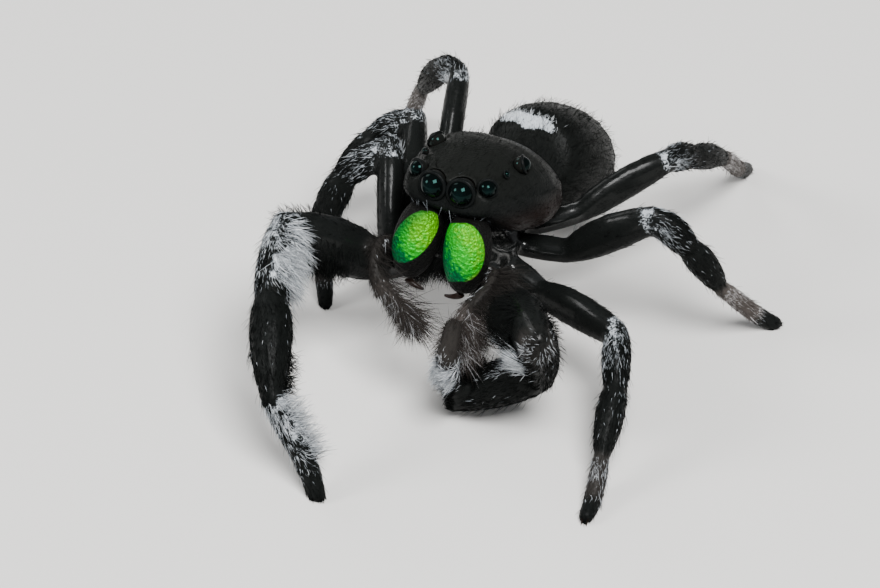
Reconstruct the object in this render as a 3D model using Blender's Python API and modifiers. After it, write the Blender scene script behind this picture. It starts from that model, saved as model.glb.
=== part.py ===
"""A bold jumping spider, an adult male, life size: seven feet on the floor and the left front leg folded in.

The spider faces -Y with its left side at +X, and its seven feet stand on z = 0. Every body part is a closed
solid that reaches out to the tips of its coat. Leg parts are straight lofts with ball ends, parted from
their neighbours by thin cuts halfway round each joint.
"""

import math

import bmesh
import bpy
import numpy as np
from mathutils import Matrix, Vector

MM = 0.001

# Driving dimensions, in millimetres and degrees.
CARAPACE_WIDTH = 4.2
CARAPACE_LENGTH = 4.9
ABDOMEN_LENGTH = 4.6
ABDOMEN_WIDTH = 3.44
ABDOMEN_HEIGHT = 3.2
EYE_HEIGHT = 5.89       # of the two big front eyes above the floor
BODY_PITCH = 12         # the head end is raised
ABDOMEN_DROP = 34       # the rear end of the abdomen hangs down
ABDOMEN_CENTRE = (0.0, 6.6, 2.42)
GAP = 0.04              # of each parting cut
FACE = -0.16            # where the carapace begins, ahead of the centres of the big front eyes
SIDES = 10              # round each leg

# Length of each leg part, from joint to joint, and its height with the coat on. Pair 1 is the front pair.
PARTS = ("femur", "patella", "tibia", "metatarsus", "tarsus")
LENGTHS = {
    1: (3.42, 2.05, 2.8, 1.88, 1.0),
    2: (2.75, 1.6, 1.98, 1.12, 0.75),
    3: (2.75, 1.3, 1.7, 1.75, 0.95),
    4: (2.8, 1.5, 2.2, 2.1, 0.95),
}
HEIGHTS = {
    1: (1.66, 1.36, 1.42, 0.94, 0.64),
    2: (1.24, 1.02, 1.0, 0.72, 0.56),
    3: (1.2, 0.98, 0.9, 0.62, 0.52),
    4: (1.1, 0.92, 0.86, 0.62, 0.52),
}
# Width over height of femur, patella and tibia in the middle, and of every joint. Femora are the flattest.
FLATNESS = {1: (0.82, 0.88, 0.88), 2: (0.68, 0.86, 0.88), 3: (0.7, 0.86, 0.88), 4: (0.66, 0.84, 0.88)}
JOINT_FLATNESS = 0.84
ARCHES = (0.05, 0.06, 0.04)      # how far a femur, patella and tibia bow upwards, over their height

# Hips, in the head's own frame: out from the middle, back from the big front eyes, up from them.
HIPS = {1: (1.88, 0.48, -3.13), 2: (2.29, 1.71, -3.2), 3: (2.43, 3.01, -2.44), 4: (2.06, 4.42, -1.92)}
COXA_ROOTS = {1: (0.7, 1.1, -2.62), 2: (0.75, 2.0, -2.66), 3: (0.75, 2.9, -2.64), 4: (0.65, 3.75, -2.56)}
COXA_WIDTHS = {1: 0.9, 2: 0.84, 3: 0.8, 4: 0.74}

# The stance. Each part points (degrees forwards from straight out, degrees up), from the hip to the foot.
STANCE = {
    ("right", 1): ((47, 36.5), (104, -27), (117, -29), (166, -54), (149, -55)),
    ("right", 2): ((-64.5, 45), (23, -37), (44, -66), (128, -50), (122, -50)),
    ("right", 3): ((-68, 20), (20, -27), (58, -41), (75, -51), (75, -52)),
    ("right", 4): ((-74, 35), (-43, -24), (-41, -49), (-49, -54), (-42, -55)),
    ("left", 1): ((51, 20), (-111, -61), (172, -33), (84, 69), (-80, 75)),
    ("left", 2): ((18, 2), (66, -25), (77, -29), (78, -34), (81, -30)),
    ("left", 3): ((-13, 33), (-17, -42), (-35, -59), (-59, -50), (-46, -47)),
    ("left", 4): ((-52, 18), (-84, -29), (-85, -33), (-96, -44), (-93, -48)),
}
RAISED = ("left", 1)
FOOT_SINK = 0.1         # how far above the floor a standing foot's middle line ends

# Eyes: radius, place in the head's frame and the way they look (degrees outwards, degrees up).
EYES = {
    "front_middle": (0.38, (0.42, 0.0, 0.0), (4, 0)),
    "front_side": (0.26, (1.02, 0.26, 0.17), (28, 6)),
    "small": (0.1, (1.2, 1.0, 0.34), (78, 28)),
    "rear": (0.24, (1.27, 1.85, 0.3), (112, 18)),
}

# The feelers, in the head's own frame from root to tip, as if each were on the left, and their height there.
PALP_ROUTES = {
    "left": (
        (1.38, 0.3, -2.3),
        (1.66, -0.15, -2.0),
        (1.72, -0.75, -2.25),
        (1.42, -1.15, -2.8),
        (1.1, -1.3, -3.6),
    ),
    "right": (
        (1.38, 0.3, -2.3),
        (1.66, -0.15, -1.96),
        (1.56, -0.88, -2.18),
        (1.15, -1.2, -2.8),
        (0.12, -1.45, -3.36),
    ),
}
PALP_HEIGHTS = (0.44, 0.48, 0.52, 0.72, 0.5)
PALP_PARTING = 0.7      # share of the way along, where the tip begins
PALP_SIDES = 8
PEDICEL_RADIUS = 0.16
SPINNERET_LENGTH = 0.5
FANG_THICKNESS = 0.28
FANG_REACH = 0.5        # across, from its tip to its root
FOOT_FLATNESS = 0.9

# Slot: colour, roughness, metallic.
FINISHES = {
    "black_cuticle": ((0.012, 0.012, 0.011), 0.38, 0.0),
    "black_coat": ((0.02, 0.021, 0.018), 0.75, 0.0),
    "white_hair": ((0.55, 0.57, 0.58), 0.8, 0.0),
    "green_chelicera": ((0.1, 0.62, 0.06), 0.3, 0.85),
    "eye": ((0.01, 0.03, 0.03), 0.05, 0.0),
}


def finish(slot):
    """The Principled material of a slot, made once."""
    if slot in bpy.data.materials:
        return bpy.data.materials[slot]
    colour, roughness, metallic = FINISHES[slot]
    material = bpy.data.materials.new(slot)
    material.use_nodes = True
    shader = material.node_tree.nodes["Principled BSDF"]
    shader.inputs["Base Color"].default_value = (*colour, 1)
    shader.inputs["Roughness"].default_value = roughness
    shader.inputs["Metallic"].default_value = metallic
    material.diffuse_color = (*colour, 1)
    return material


def clear_scene():
    for obj in list(bpy.data.objects):
        bpy.data.objects.remove(obj, do_unlink=True)


def new_object(name, mesh, slot, parent, collection):
    obj = bpy.data.objects.new(name, mesh)
    if slot:
        mesh.materials.append(finish(slot))
    mesh.shade_smooth()
    collection.objects.link(obj)
    obj.parent = parent
    return obj


def new_empty(name, parent=None):
    empty = bpy.data.objects.new(name, None)
    parts.objects.link(empty)
    empty.parent = parent
    return empty


def loft(rings):
    """A closed bmesh through rings of equal counts, each a list of points in millimetres, with flat ends."""
    bm = bmesh.new()
    rows = [[bm.verts.new(Vector(point) * MM) for point in ring] for ring in rings]
    for low, high in zip(rows, rows[1:]):
        for k in range(len(low)):
            j = (k + 1) % len(low)
            bm.faces.new((low[k], low[j], high[j], high[k]))
    bm.faces.new(rows[0][::-1])
    bm.faces.new(rows[-1])
    bmesh.ops.recalc_face_normals(bm, faces=bm.faces)
    return bm


def part_with_cut(bm, point, normal):
    """Cuts off what lies beyond the plane, half a gap short of it. Point in millimetres."""
    unit = Vector(normal).normalized()
    bmesh.ops.bisect_plane(
        bm,
        geom=bm.verts[:] + bm.edges[:] + bm.faces[:],
        dist=1e-7,
        plane_co=(Vector(point) - unit * GAP / 2) * MM,
        plane_no=unit,
        clear_outer=True,
    )
    bmesh.ops.holes_fill(bm, edges=[edge for edge in bm.edges if edge.is_boundary])
    bmesh.ops.recalc_face_normals(bm, faces=bm.faces)


def to_mesh(bm, name):
    mesh = bpy.data.meshes.new(name)
    bm.to_mesh(mesh)
    bm.free()
    return mesh


def smooth_through(stations, share):
    """The row of values at a share, 0 to 1, of the way through evenly counted stations (Catmull-Rom)."""
    place = share * (len(stations) - 1)
    k = min(int(place), len(stations) - 2)
    t = place - k
    a, b, c, d = (stations[min(max(j, 0), len(stations) - 1)] for j in (k - 1, k, k + 1, k + 2))
    return [
        0.5 * (2 * q + (r - p) * t + (2 * p - 5 * q + 4 * r - s) * t * t + (3 * q - p - 3 * r + s) * t ** 3)
        for p, q, r, s in zip(a, b, c, d)
    ]


def body_section(half_width, top, bottom, along, sides, squareness=0.8, lean=0.0, belly=0.42):
    """A ring across the body: a rounded box, widest low down, whose upper part leans in."""
    widest = bottom + belly * (top - bottom)
    ring = []
    for k in range(sides):
        angle = 2 * math.pi * (k + 0.5) / sides
        across = math.copysign(abs(math.sin(angle)) ** squareness, math.sin(angle))
        rise = math.copysign(abs(math.cos(angle)) ** squareness, math.cos(angle))
        reach = top - widest if rise > 0 else widest - bottom
        narrow = 1 - lean * max(rise, 0) ** 1.5
        ring.append((half_width * across * narrow, along, widest + reach * rise))
    return ring


def direction(side, heading, rise):
    """The unit vector of a leg part, in the world: heading forwards from straight out to the side."""
    sign = 1 if side == "left" else -1
    h, r = math.radians(heading), math.radians(rise)
    return Vector((sign * math.cos(r) * math.cos(h), -math.cos(r) * math.sin(h), math.sin(r)))


def head_to_world():
    return Matrix.Translation((0, 0, EYE_HEIGHT)) @ Matrix.Rotation(math.radians(-BODY_PITCH), 4, "X")


def mirrored(point, side):
    return Vector((point[0] if side == "left" else -point[0], point[1], point[2]))


def leg_joints(side, pair):
    """World positions, in millimetres, of hip, knee and so on to the tip of the foot."""
    points = [head_to_world() @ mirrored(HIPS[pair], side)]
    for length, aim in zip(LENGTHS[pair], STANCE[side, pair]):
        points.append(points[-1] + length * direction(side, *aim))
    if (side, pair) != RAISED:
        points[-1].z = FOOT_SINK
    return points


def along_frame(start, end):
    """Local X runs from start to end, local Z is its upper side."""
    ahead = (end - start).normalized()
    across = Vector((0, 0, 1)).cross(ahead)
    across.normalize()
    above = ahead.cross(across)
    turn = Matrix((ahead, across, above)).transposed()
    return Matrix.Translation(start) @ turn.to_4x4()


def limb_rings(length, sizes, flatness, sides, arch=0.0, bend=None):
    """Rings of a limb along local X with ball ends. Sizes are heights at the near end, middle and far end,
    and flatness is the width of its middle over its height."""
    near, middle, far = (size / 2 for size in sizes)
    steps = [-0.95 * near, -0.6 * near]
    steps += [length * share for share in (0.0, 0.14, 0.34, 0.58, 0.82, 1.0)]
    steps += [length + 0.6 * far, length + 0.95 * far]
    rings = []
    for x in steps:
        share = min(max(x / length, 0), 1)
        swell = math.sin(math.pi * share ** 0.9) ** 0.8 if 0 < share < 1 else 0
        radius = near + (far - near) * share + (middle - (near + far) / 2) * swell
        past = -x / near if x < 0 else max((x - length) / far, 0)
        radius *= math.sqrt(max(1 - past * past, 0.01))
        narrow = JOINT_FLATNESS + (flatness - JOINT_FLATNESS) * swell
        lift = arch * math.sin(math.pi * share)
        shift = bend(share) if bend else (0, 0)
        ring = []
        for k in range(sides):
            angle = 2 * math.pi * k / sides
            ring.append((
                x,
                radius * narrow * math.cos(angle) + shift[0],
                radius * math.sin(angle) + lift + shift[1],
            ))
        rings.append(ring)
    return rings


def place_limb(name, start, end, rings, cuts, slot):
    """A limb along start to end, parted by world planes (point, normal pointing off the limb)."""
    frame = along_frame(start, end)
    inverse = frame.inverted()
    bm = loft(rings)
    for point, normal in cuts:
        part_with_cut(bm, inverse @ point, inverse.to_3x3() @ normal)
    obj = new_object(name, to_mesh(bm, name), slot, root, parts)
    obj.matrix_local = Matrix.Translation(frame.translation * MM) @ frame.to_3x3().to_4x4()
    return obj


def joint_plane(before, joint, after):
    """The plane halfway round a joint: its normal points from the near limb to the far one."""
    return joint, ((joint - before).normalized() + (after - joint).normalized()).normalized()


def build_leg(side, pair):
    joints = leg_joints(side, pair)
    heights = HEIGHTS[pair]
    coxa_root = head_to_world() @ mirrored(COXA_ROOTS[pair], side)
    planes = [joint_plane(*trio) for trio in zip([coxa_root] + joints, joints, joints[1:])]
    name = f"leg_{pair}_{side}"
    necks = [COXA_WIDTHS[pair] * 0.95]
    necks += [0.84 * min(pair_of) for pair_of in zip(heights, heights[1:])]
    for k in range(3):
        sizes = (necks[k], heights[k], necks[k + 1])
        length = (joints[k + 1] - joints[k]).length
        rings = limb_rings(length, sizes, FLATNESS[pair][k], SIDES, ARCHES[k] * heights[k])
        cuts = [(planes[k][0], -planes[k][1]), planes[k + 1]]
        slot = "white_hair" if PARTS[k] == "patella" else "black_coat"
        place_limb(f"{name}_{PARTS[k]}", joints[k], joints[k + 1], rings, cuts, slot)
    ankle, joint, tip = joints[3:]
    span = tip - ankle
    frame = along_frame(ankle, tip)
    off_line = frame.inverted() @ joint
    turn_share = off_line.x / span.length

    def bend(share):
        eased = math.sin(math.pi * share ** (math.log(0.5) / math.log(turn_share)))
        return off_line.y * eased, off_line.z * eased

    sizes = (necks[3], (heights[3] + heights[4]) / 2, heights[4])
    rings = limb_rings(span.length, sizes, FOOT_FLATNESS, SIDES, bend=bend)
    cuts = [(planes[3][0], -planes[3][1])]
    if (side, pair) != RAISED:
        cuts.append((Vector((0, 0, -GAP / 2)), Vector((0, 0, -1))))
    place_limb(f"{name}_foot", ankle, tip, rings, cuts, "black_coat")


def body_form(name, stations, rings, sides, slot, parent, **shape):
    """A soft body form along local Y. A station is (along, half width, top, bottom)."""
    sections = []
    for k in range(rings):
        along, half_width, top, bottom = smooth_through(stations, k / (rings - 1))
        sections.append(body_section(half_width, top, bottom, along, sides, **shape))
    return new_object(name, to_mesh(loft(sections), name), slot, parent, parts)


def carapace_stations():
    """From the face to the rear: place along the head, half width, top and lower edge."""
    half = CARAPACE_WIDTH / 2
    back = FACE + CARAPACE_LENGTH
    return [
        (FACE, 0.42 * half, 0.12, -0.5),
        (FACE + 0.03, 0.58 * half, 0.3, -0.68),
        (0.2, 0.69 * half, 0.43, -0.84),
        (0.62, 0.78 * half, 0.5, -1.12),
        (1.15, 0.88 * half, 0.55, -1.5),
        (1.9, 0.97 * half, 0.6, -1.86),
        (2.7, half, 0.5, -1.98),
        (3.4, 0.93 * half, 0.14, -1.92),
        (4.0, 0.76 * half, -0.42, -1.72),
        (back - 0.24, 0.54 * half, -0.95, -1.6),
        (back, 0.24 * half, -1.28, -1.48),
    ]


def carapace_floor(along):
    """How low the middle of the carapace reaches at a place along the head."""
    samples = [smooth_through(carapace_stations(), k / 100) for k in range(101)]
    return float(np.interp(along, [row[0] for row in samples], [row[3] for row in samples]))


def build_carapace():
    stations = carapace_stations()
    carapace = body_form("carapace", stations, 16, 20, "black_cuticle", head, squareness=0.72, lean=0.25)
    for eye, (radius, _, _) in EYES.items():
        for side in ("left", "right"):
            socket = build_eye(eye, side, radius + GAP, f"socket_{eye}_{side}", cutters)
            socket.hide_render = True
            socket.display_type = "WIRE"
            cut = carapace.modifiers.new(socket.name, "BOOLEAN")
            cut.operation = "DIFFERENCE"
            cut.object = socket


def build_eye(eye, side, radius, name, collection):
    """A lens turned about its own axis: a half ball on a short barrel that tapers into the head."""
    _, place, (outwards, up) = EYES[eye]
    profile = [(0.0, 1.0)] + [
        (math.sin(math.radians(a)), math.cos(math.radians(a))) for a in (25, 48, 70, 90)
    ] + [(0.8, -0.62), (0.0, -0.85)]
    mesh = bpy.data.meshes.new(name)
    points = [(r * radius * MM, 0, z * radius * MM) for r, z in profile]
    mesh.from_pydata(points, [(k, k + 1) for k in range(len(points) - 1)], [])
    slot = "eye" if collection is parts else None
    obj = new_object(name, mesh, slot, head, collection)
    screw = obj.modifiers.new("turned", "SCREW")
    screw.steps = screw.render_steps = 8 if eye == "small" else 12
    screw.use_merge_vertices = True
    screw.merge_threshold = 1e-6
    sign = 1 if side == "left" else -1
    turn = Matrix.Rotation(math.radians(sign * outwards), 3, "Z")
    tip = Matrix.Rotation(math.radians(90 - up), 3, "X")
    obj.location = mirrored(place, side) * MM
    obj.rotation_euler = (turn @ tip).to_euler()
    return obj


def build_eyes():
    for eye, (radius, _, _) in EYES.items():
        for side in ("left", "right"):
            build_eye(eye, side, radius, f"eye_{eye}_{side}", parts)


def build_abdomen():
    half, high, long = ABDOMEN_WIDTH / 2, ABDOMEN_HEIGHT / 2, ABDOMEN_LENGTH / 2
    stations = [
        (-long, 0.3 * half, 0.42 * high, -0.3 * high),
        (-0.96 * long, 0.66 * half, 0.74 * high, -0.62 * high),
        (-0.78 * long, 0.88 * half, 0.92 * high, -0.84 * high),
        (-0.4 * long, 0.99 * half, high, -0.97 * high),
        (0.0, half, high, -high),
        (0.4 * long, 0.9 * half, 0.88 * high, -0.93 * high),
        (0.75 * long, 0.62 * half, 0.58 * high, -0.72 * high),
        (0.94 * long, 0.32 * half, 0.2 * high, -0.46 * high),
        (long, 0.12 * half, -0.06 * high, -0.26 * high),
    ]
    body_form("abdomen", stations, 14, 18, "black_coat", rear, squareness=0.92, lean=0.06, belly=0.5)


def build_spinnerets():
    """A short blunt cone behind the abdomen, for the six small spinnerets."""
    long = ABDOMEN_LENGTH / 2
    drop = -0.16 * ABDOMEN_HEIGHT / 2
    bm = bmesh.new()
    bmesh.ops.create_cone(
        bm, cap_ends=True, segments=12, radius1=0.3 * MM, radius2=0.16 * MM, depth=SPINNERET_LENGTH * MM
    )
    obj = new_object("spinnerets", to_mesh(bm, "spinnerets"), "black_cuticle", rear, parts)
    obj.rotation_euler = (math.radians(-90), 0, 0)
    obj.location = Vector((0, long + GAP + SPINNERET_LENGTH / 2, drop)) * MM


def build_pedicel():
    """The short waist, cut off square to the rear of the carapace and to the front of the abdomen."""
    head_turn, rear_turn = head_to_world().to_3x3(), rear_matrix().to_3x3()
    backwards = Vector((0, 1, 0))
    start = head_to_world() @ Vector((0, FACE + CARAPACE_LENGTH + GAP / 2, -1.38))
    end = rear_matrix() @ Vector((0, -ABDOMEN_LENGTH / 2 - GAP / 2, -0.2))
    length = (end - start).length
    rings = []
    for x in (-2 * PEDICEL_RADIUS, length + 2 * PEDICEL_RADIUS):
        angles = [2 * math.pi * k / 12 for k in range(12)]
        rings.append([(x, PEDICEL_RADIUS * math.cos(a), PEDICEL_RADIUS * math.sin(a)) for a in angles])
    cuts = [(start, head_turn @ -backwards), (end, rear_turn @ backwards)]
    place_limb("pedicel", start, end, rings, cuts, "black_cuticle")


def build_chelicera(side):
    """A jaw: an egg that bulges forwards under the face and leans a little outwards."""
    stations = [
        (0.0, 0.3, 0.26, -0.3),
        (0.12, 0.46, 0.42, -0.48),
        (0.6, 0.6, 0.6, -0.56),
        (1.1, 0.62, 0.62, -0.56),
        (1.55, 0.5, 0.5, -0.46),
        (1.85, 0.3, 0.28, -0.3),
        (1.92, 0.16, 0.16, -0.16),
    ]
    obj = body_form(
        f"chelicera_{side}", stations, 10, 12, "green_chelicera", head, squareness=0.95, belly=0.5
    )
    sign = 1 if side == "left" else -1
    obj.location = mirrored((0.65, 0.02, -0.82), side) * MM
    obj.rotation_euler = (
        Matrix.Rotation(math.radians(-sign * 6), 3, "Y") @ Matrix.Rotation(math.radians(-99), 3, "X")
    ).to_euler()


def build_fang(side):
    """A short curved tube that tapers to a point, folded in under its chelicera."""
    curve = bpy.data.curves.new(f"fang_{side}", "CURVE")
    curve.dimensions = "3D"
    curve.bevel_depth = FANG_THICKNESS / 2 * MM
    curve.bevel_resolution = 2
    curve.use_fill_caps = True
    spline = curve.splines.new("POLY")
    count = 6
    spline.points.add(count - 1)
    for k in range(count):
        share = k / (count - 1)
        angle = math.radians(10 + 80 * share)
        across = 0.3 + FANG_REACH * math.cos(angle)
        drop = 0.5 * FANG_REACH * math.sin(angle)
        place = mirrored((across, -0.3, -2.76 - drop), side)
        spline.points[k].co = (*(place * MM), 1)
        spline.points[k].radius = 1 - 0.72 * share
    obj = bpy.data.objects.new(curve.name, curve)
    curve.materials.append(finish("black_cuticle"))
    parts.objects.link(obj)
    obj.parent = head


def path_rings(points, sizes, flatness, sides, rings):
    """Rings round a smooth path through points, with round ends, sizes being heights at those points."""
    stations = [(*point, size) for point, size in zip(points, sizes)]
    result = []
    for k in range(rings):
        share = k / (rings - 1)
        x, y, z, size = smooth_through(stations, share)
        before = smooth_through(stations, max(share - 0.02, 0))
        after = smooth_through(stations, min(share + 0.02, 1))
        ahead = (Vector(after[:3]) - Vector(before[:3])).normalized()
        across = ahead.cross(Vector((0, 0, 1))).normalized()
        above = across.cross(ahead)
        radius = size / 2
        result.append([
            Vector((x, y, z))
            + across * radius * flatness * math.cos(2 * math.pi * j / sides)
            + above * radius * math.sin(2 * math.pi * j / sides)
            for j in range(sides)
        ])
    return result


def build_palp(side):
    route = [mirrored(point, side) for point in PALP_ROUTES[side]]
    stations = [tuple(point) for point in route]
    middle = Vector(smooth_through(stations, PALP_PARTING))
    ahead = Vector(smooth_through(stations, PALP_PARTING + 0.02)) - middle
    rings = path_rings(route, PALP_HEIGHTS, 1.0, PALP_SIDES, 14)
    centre = sum(rings[-1], Vector()) / len(rings[-1])
    onward = (route[-1] - route[-2]).normalized() * 0.16
    rings.append([centre + (point - centre) * 0.55 + onward for point in rings[-1]])
    for name, normal in (("arm", ahead), ("tip", -ahead)):
        bm = loft(rings)
        part_with_cut(bm, middle, normal)
        new_object(f"palp_{side}_{name}", to_mesh(bm, name), "black_coat", head, parts)


def build_underside():
    """The breast plate and mouth parts, with the root of each leg grown on."""
    outline = (
        (0.56, 0.8, -2.5),
        (0.66, 1.05, -2.8),
        (1.15, 1.3, -2.9),
        (1.9, 1.3, -2.95),
        (2.8, 1.15, -2.92),
        (3.7, 0.85, -2.82),
        (4.1, 0.4, -2.6),
    )
    stations = [
        (along, half_width, carapace_floor(along) - 2 * GAP, bottom) for along, half_width, bottom in outline
    ]
    underside = body_form(
        "underside", stations, 8, 12, "black_cuticle", head, squareness=0.8, belly=0.5
    )
    for side, pair in STANCE:
        hip = mirrored(HIPS[pair], side)
        coxa_root = mirrored(COXA_ROOTS[pair], side)
        knee = head_to_world().inverted() @ leg_joints(side, pair)[1]
        frame = along_frame(coxa_root, hip)
        width = COXA_WIDTHS[pair]
        bm = loft(limb_rings((hip - coxa_root).length, (width * 0.8, width, width * 0.95), 1.0, 8))
        point, normal = joint_plane(coxa_root, hip, knee)
        part_with_cut(bm, frame.inverted() @ point, frame.inverted().to_3x3() @ normal)
        coxa = new_object(f"coxa_{pair}_{side}", to_mesh(bm, "coxa"), None, head, cutters)
        coxa.matrix_local = Matrix.Translation(frame.translation * MM) @ frame.to_3x3().to_4x4()
        coxa.hide_render = True
        coxa.display_type = "WIRE"
        join = underside.modifiers.new(coxa.name, "BOOLEAN")
        join.operation = "UNION"
        join.object = coxa


def rear_matrix():
    """The abdomen's own frame: along it, local Y runs to its rear end."""
    return Matrix.Translation(ABDOMEN_CENTRE) @ Matrix.Rotation(math.radians(-ABDOMEN_DROP), 4, "X")


def stand_on_middle():
    """Shifts the whole spider, so that the box round it is centred over the origin."""
    bpy.context.view_layer.update()
    graph = bpy.context.evaluated_depsgraph_get()
    corners = []
    for obj in parts.objects:
        if obj.type != "EMPTY":
            shape = obj.evaluated_get(graph).to_mesh()
            corners += [obj.matrix_world @ vertex.co for vertex in shape.vertices]
            obj.evaluated_get(graph).to_mesh_clear()
    for axis in (0, 1):
        values = [corner[axis] for corner in corners]
        root.location[axis] = -(min(values) + max(values)) / 2
    bpy.context.view_layer.update()


clear_scene()
parts = bpy.data.collections.new("jumping_spider")
cutters = bpy.data.collections.new("cutters")
for group in (parts, cutters):
    bpy.context.scene.collection.children.link(group)
root = new_empty("spider")
head = new_empty("head_frame", root)
place = head_to_world()
head.matrix_local = Matrix.Translation(place.translation * MM) @ place.to_3x3().to_4x4()
rear = new_empty("abdomen_frame", root)
place = rear_matrix()
rear.matrix_local = Matrix.Translation(place.translation * MM) @ place.to_3x3().to_4x4()

build_carapace()
build_eyes()
build_underside()
build_abdomen()
build_pedicel()
build_spinnerets()
for flank in ("left", "right"):
    build_chelicera(flank)
    build_fang(flank)
    build_palp(flank)
for flank, number in STANCE:
    build_leg(flank, number)
stand_on_middle()
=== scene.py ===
import math

import bmesh
import bpy
import numpy as np
from mathutils import Matrix, Vector
from mathutils.bvhtree import BVHTree


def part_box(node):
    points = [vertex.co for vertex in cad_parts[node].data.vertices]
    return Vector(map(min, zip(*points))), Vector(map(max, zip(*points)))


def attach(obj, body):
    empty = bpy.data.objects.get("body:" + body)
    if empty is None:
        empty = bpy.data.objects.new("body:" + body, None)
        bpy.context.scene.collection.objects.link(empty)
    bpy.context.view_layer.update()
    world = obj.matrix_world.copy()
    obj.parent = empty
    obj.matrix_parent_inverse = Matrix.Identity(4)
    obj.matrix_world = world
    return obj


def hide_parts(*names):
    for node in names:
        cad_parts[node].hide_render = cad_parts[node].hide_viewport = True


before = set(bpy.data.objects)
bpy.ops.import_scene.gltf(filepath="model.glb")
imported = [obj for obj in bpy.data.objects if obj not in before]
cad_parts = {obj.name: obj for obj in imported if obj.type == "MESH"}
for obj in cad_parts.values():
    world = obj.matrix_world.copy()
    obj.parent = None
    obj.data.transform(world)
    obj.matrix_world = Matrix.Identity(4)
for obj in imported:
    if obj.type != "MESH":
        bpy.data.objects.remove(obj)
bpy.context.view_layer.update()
rng = np.random.default_rng(7)

# Lengths are in millimetres and angles in degrees, unless a comment says otherwise.
MM = 0.001
SKIN_GRAIN = 0.077  # size of the skin's facets
SWELL = 0.03  # closes the cuts between neighbours before the skin is drawn over them
PATCH = 0.0015  # half the width of a hair's patch on the skin's unwrap, which is 1 wide
ISLAND_BEND = 1.15  # radians that an island of the unwrap may bend
SKIN_FLOOR, HAIR_FLOOR, CLAW_FLOOR = 0.004, 0.003, 0.01  # nothing comes lower than these
SIDES = ("left", "right")
PAIRS = (1, 2, 3, 4)
FEMUR, PATELLA, TIBIA, METATARSUS, TARSUS = range(5)
PART_NODES = ("femur", "patella", "tibia", "foot", "foot")  # the node that each part of a leg lies in
MARKS = ("pale", "warm", "bloom", "dun", "gloss")


# ---------------- materials


class Wire:
    """An output socket of a finish. Sums on it add their Math nodes."""

    def __init__(self, finish, socket):
        self.finish = finish
        self.socket = socket

    def maths(self, operation, *values):
        return self.finish.add("ShaderNodeMath", {"operation": operation}, dict(enumerate(values)))

    def __add__(self, other):
        return self.maths("ADD", self, other)

    def __sub__(self, other):
        return self.maths("SUBTRACT", self, other)

    def __mul__(self, other):
        return self.maths("MULTIPLY", self, other)

    def __rsub__(self, other):
        return self.maths("SUBTRACT", other, self)

    __radd__ = __add__
    __rmul__ = __mul__

    def step(self, low, high):
        """0 below low, 1 above high, smooth between them."""
        settings = {"interpolation_type": "SMOOTHSTEP"}
        sockets = {0: self, 1: low, 2: high, 3: 0.0, 4: 1.0}
        return self.finish.add("ShaderNodeMapRange", settings, sockets)


class Finish:
    """A material whose Principled shader takes constants, wires or both."""

    def __init__(self, name, **constants):
        self.material = bpy.data.materials.new(name)
        self.material.use_nodes = True
        self.tree = self.material.node_tree
        self.shader = self.tree.nodes["Principled BSDF"]
        self.set(**constants)

    def set(self, **values):
        for socket, value in values.items():
            self.feed(self.shader.inputs[socket.replace("_", " ")], value)

    def feed(self, socket, value):
        if isinstance(value, Wire):
            self.tree.links.new(value.socket, socket)
        else:
            socket.default_value = value

    def add(self, kind, settings=None, sockets=None, output=0):
        node = self.tree.nodes.new(kind)
        for setting, value in (settings or {}).items():
            setattr(node, setting, value)
        for socket, value in (sockets or {}).items():
            self.feed(node.inputs[socket], value)
        return Wire(self, node.outputs[output])

    def place(self):
        return self.add("ShaderNodeTexCoord", output="Object")

    def attribute(self, name):
        return self.add("ShaderNodeAttribute", {"attribute_name": name}, output="Fac")

    def noise(self, grain, detail=2.0, roughness=0.5):
        sockets = {"Vector": self.place(), "Scale": 1000 / grain, "Detail": detail, "Roughness": roughness}
        return self.add("ShaderNodeTexNoise", sockets=sockets)

    def cells(self, grain):
        return self.add("ShaderNodeTexVoronoi", sockets={"Vector": self.place(), "Scale": 1000 / grain})

    def mix(self, share, low, high):
        low, high = (v if isinstance(v, Wire) else (*v, 1.0) for v in (low, high))
        return self.add("ShaderNodeMix", {"data_type": "RGBA"}, {0: share, 6: low, 7: high}, output=2)

    def bump(self, height, depth, strength=1.0):
        sockets = {"Height": height, "Distance": depth * MM, "Strength": strength}
        self.set(Normal=self.add("ShaderNodeBump", sockets=sockets))


BLACK = (0.0035, 0.0042, 0.0042)
OLIVE = (0.0095, 0.01, 0.0085)
RUST = (0.014, 0.006, 0.0045)
DUN = (0.13, 0.11, 0.1)
SILVER = (0.3, 0.33, 0.36)
WHITE = (0.86, 0.9, 0.93)
CREAM = (0.42, 0.35, 0.31)
# Black round the jaws' green patches, for dark hair and painted shade.
JAW_HAIR_AND_SHADE = (0.004, 0.004, 0.0038)
# The jaws are really green. The spread from emerald through lime to amber is painted iridescent sheen from
# light on the right.
EMERALD = (0.0, 0.1, 0.03)
GREEN = (0.0, 0.36, 0.015)
LIME = (0.1, 0.41, 0.0)
AMBER = (0.22, 0.14, 0.008)
# Painted shade on the jaws' upper left, as the camera sees them.
JAW_SHADE_GREEN = (0.0, 0.06, 0.014)
LENS_BLACK = (0.0015, 0.004, 0.004)
LENS_SIDE = (0.001, 0.0015, 0.0015)
LENS_FOOT = (0.005, 0.005, 0.0045)
LENS_TINT = (0.35, 1.0, 0.9, 1.0)
HORN_BLACK = (0.004, 0.0025, 0.002)
HORN_BROWN = (0.012, 0.005, 0.003)


def marked(finish, tone, pale):
    """The spider's markings: black with a painted olive sheen, rust on the flanks, white where the coat is
    pale.
    """
    warm = finish.attribute("warm")
    # Painted sheen: olive over the black.
    black = finish.mix(finish.attribute("bloom"), BLACK, OLIVE)
    black = finish.mix(warm, black, RUST)
    black = finish.mix(finish.attribute("dun"), black, DUN)
    light = finish.mix(tone, SILVER, WHITE)
    light = finish.mix(finish.attribute("dun"), light, CREAM)
    return finish.mix(pale, black, light)


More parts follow.
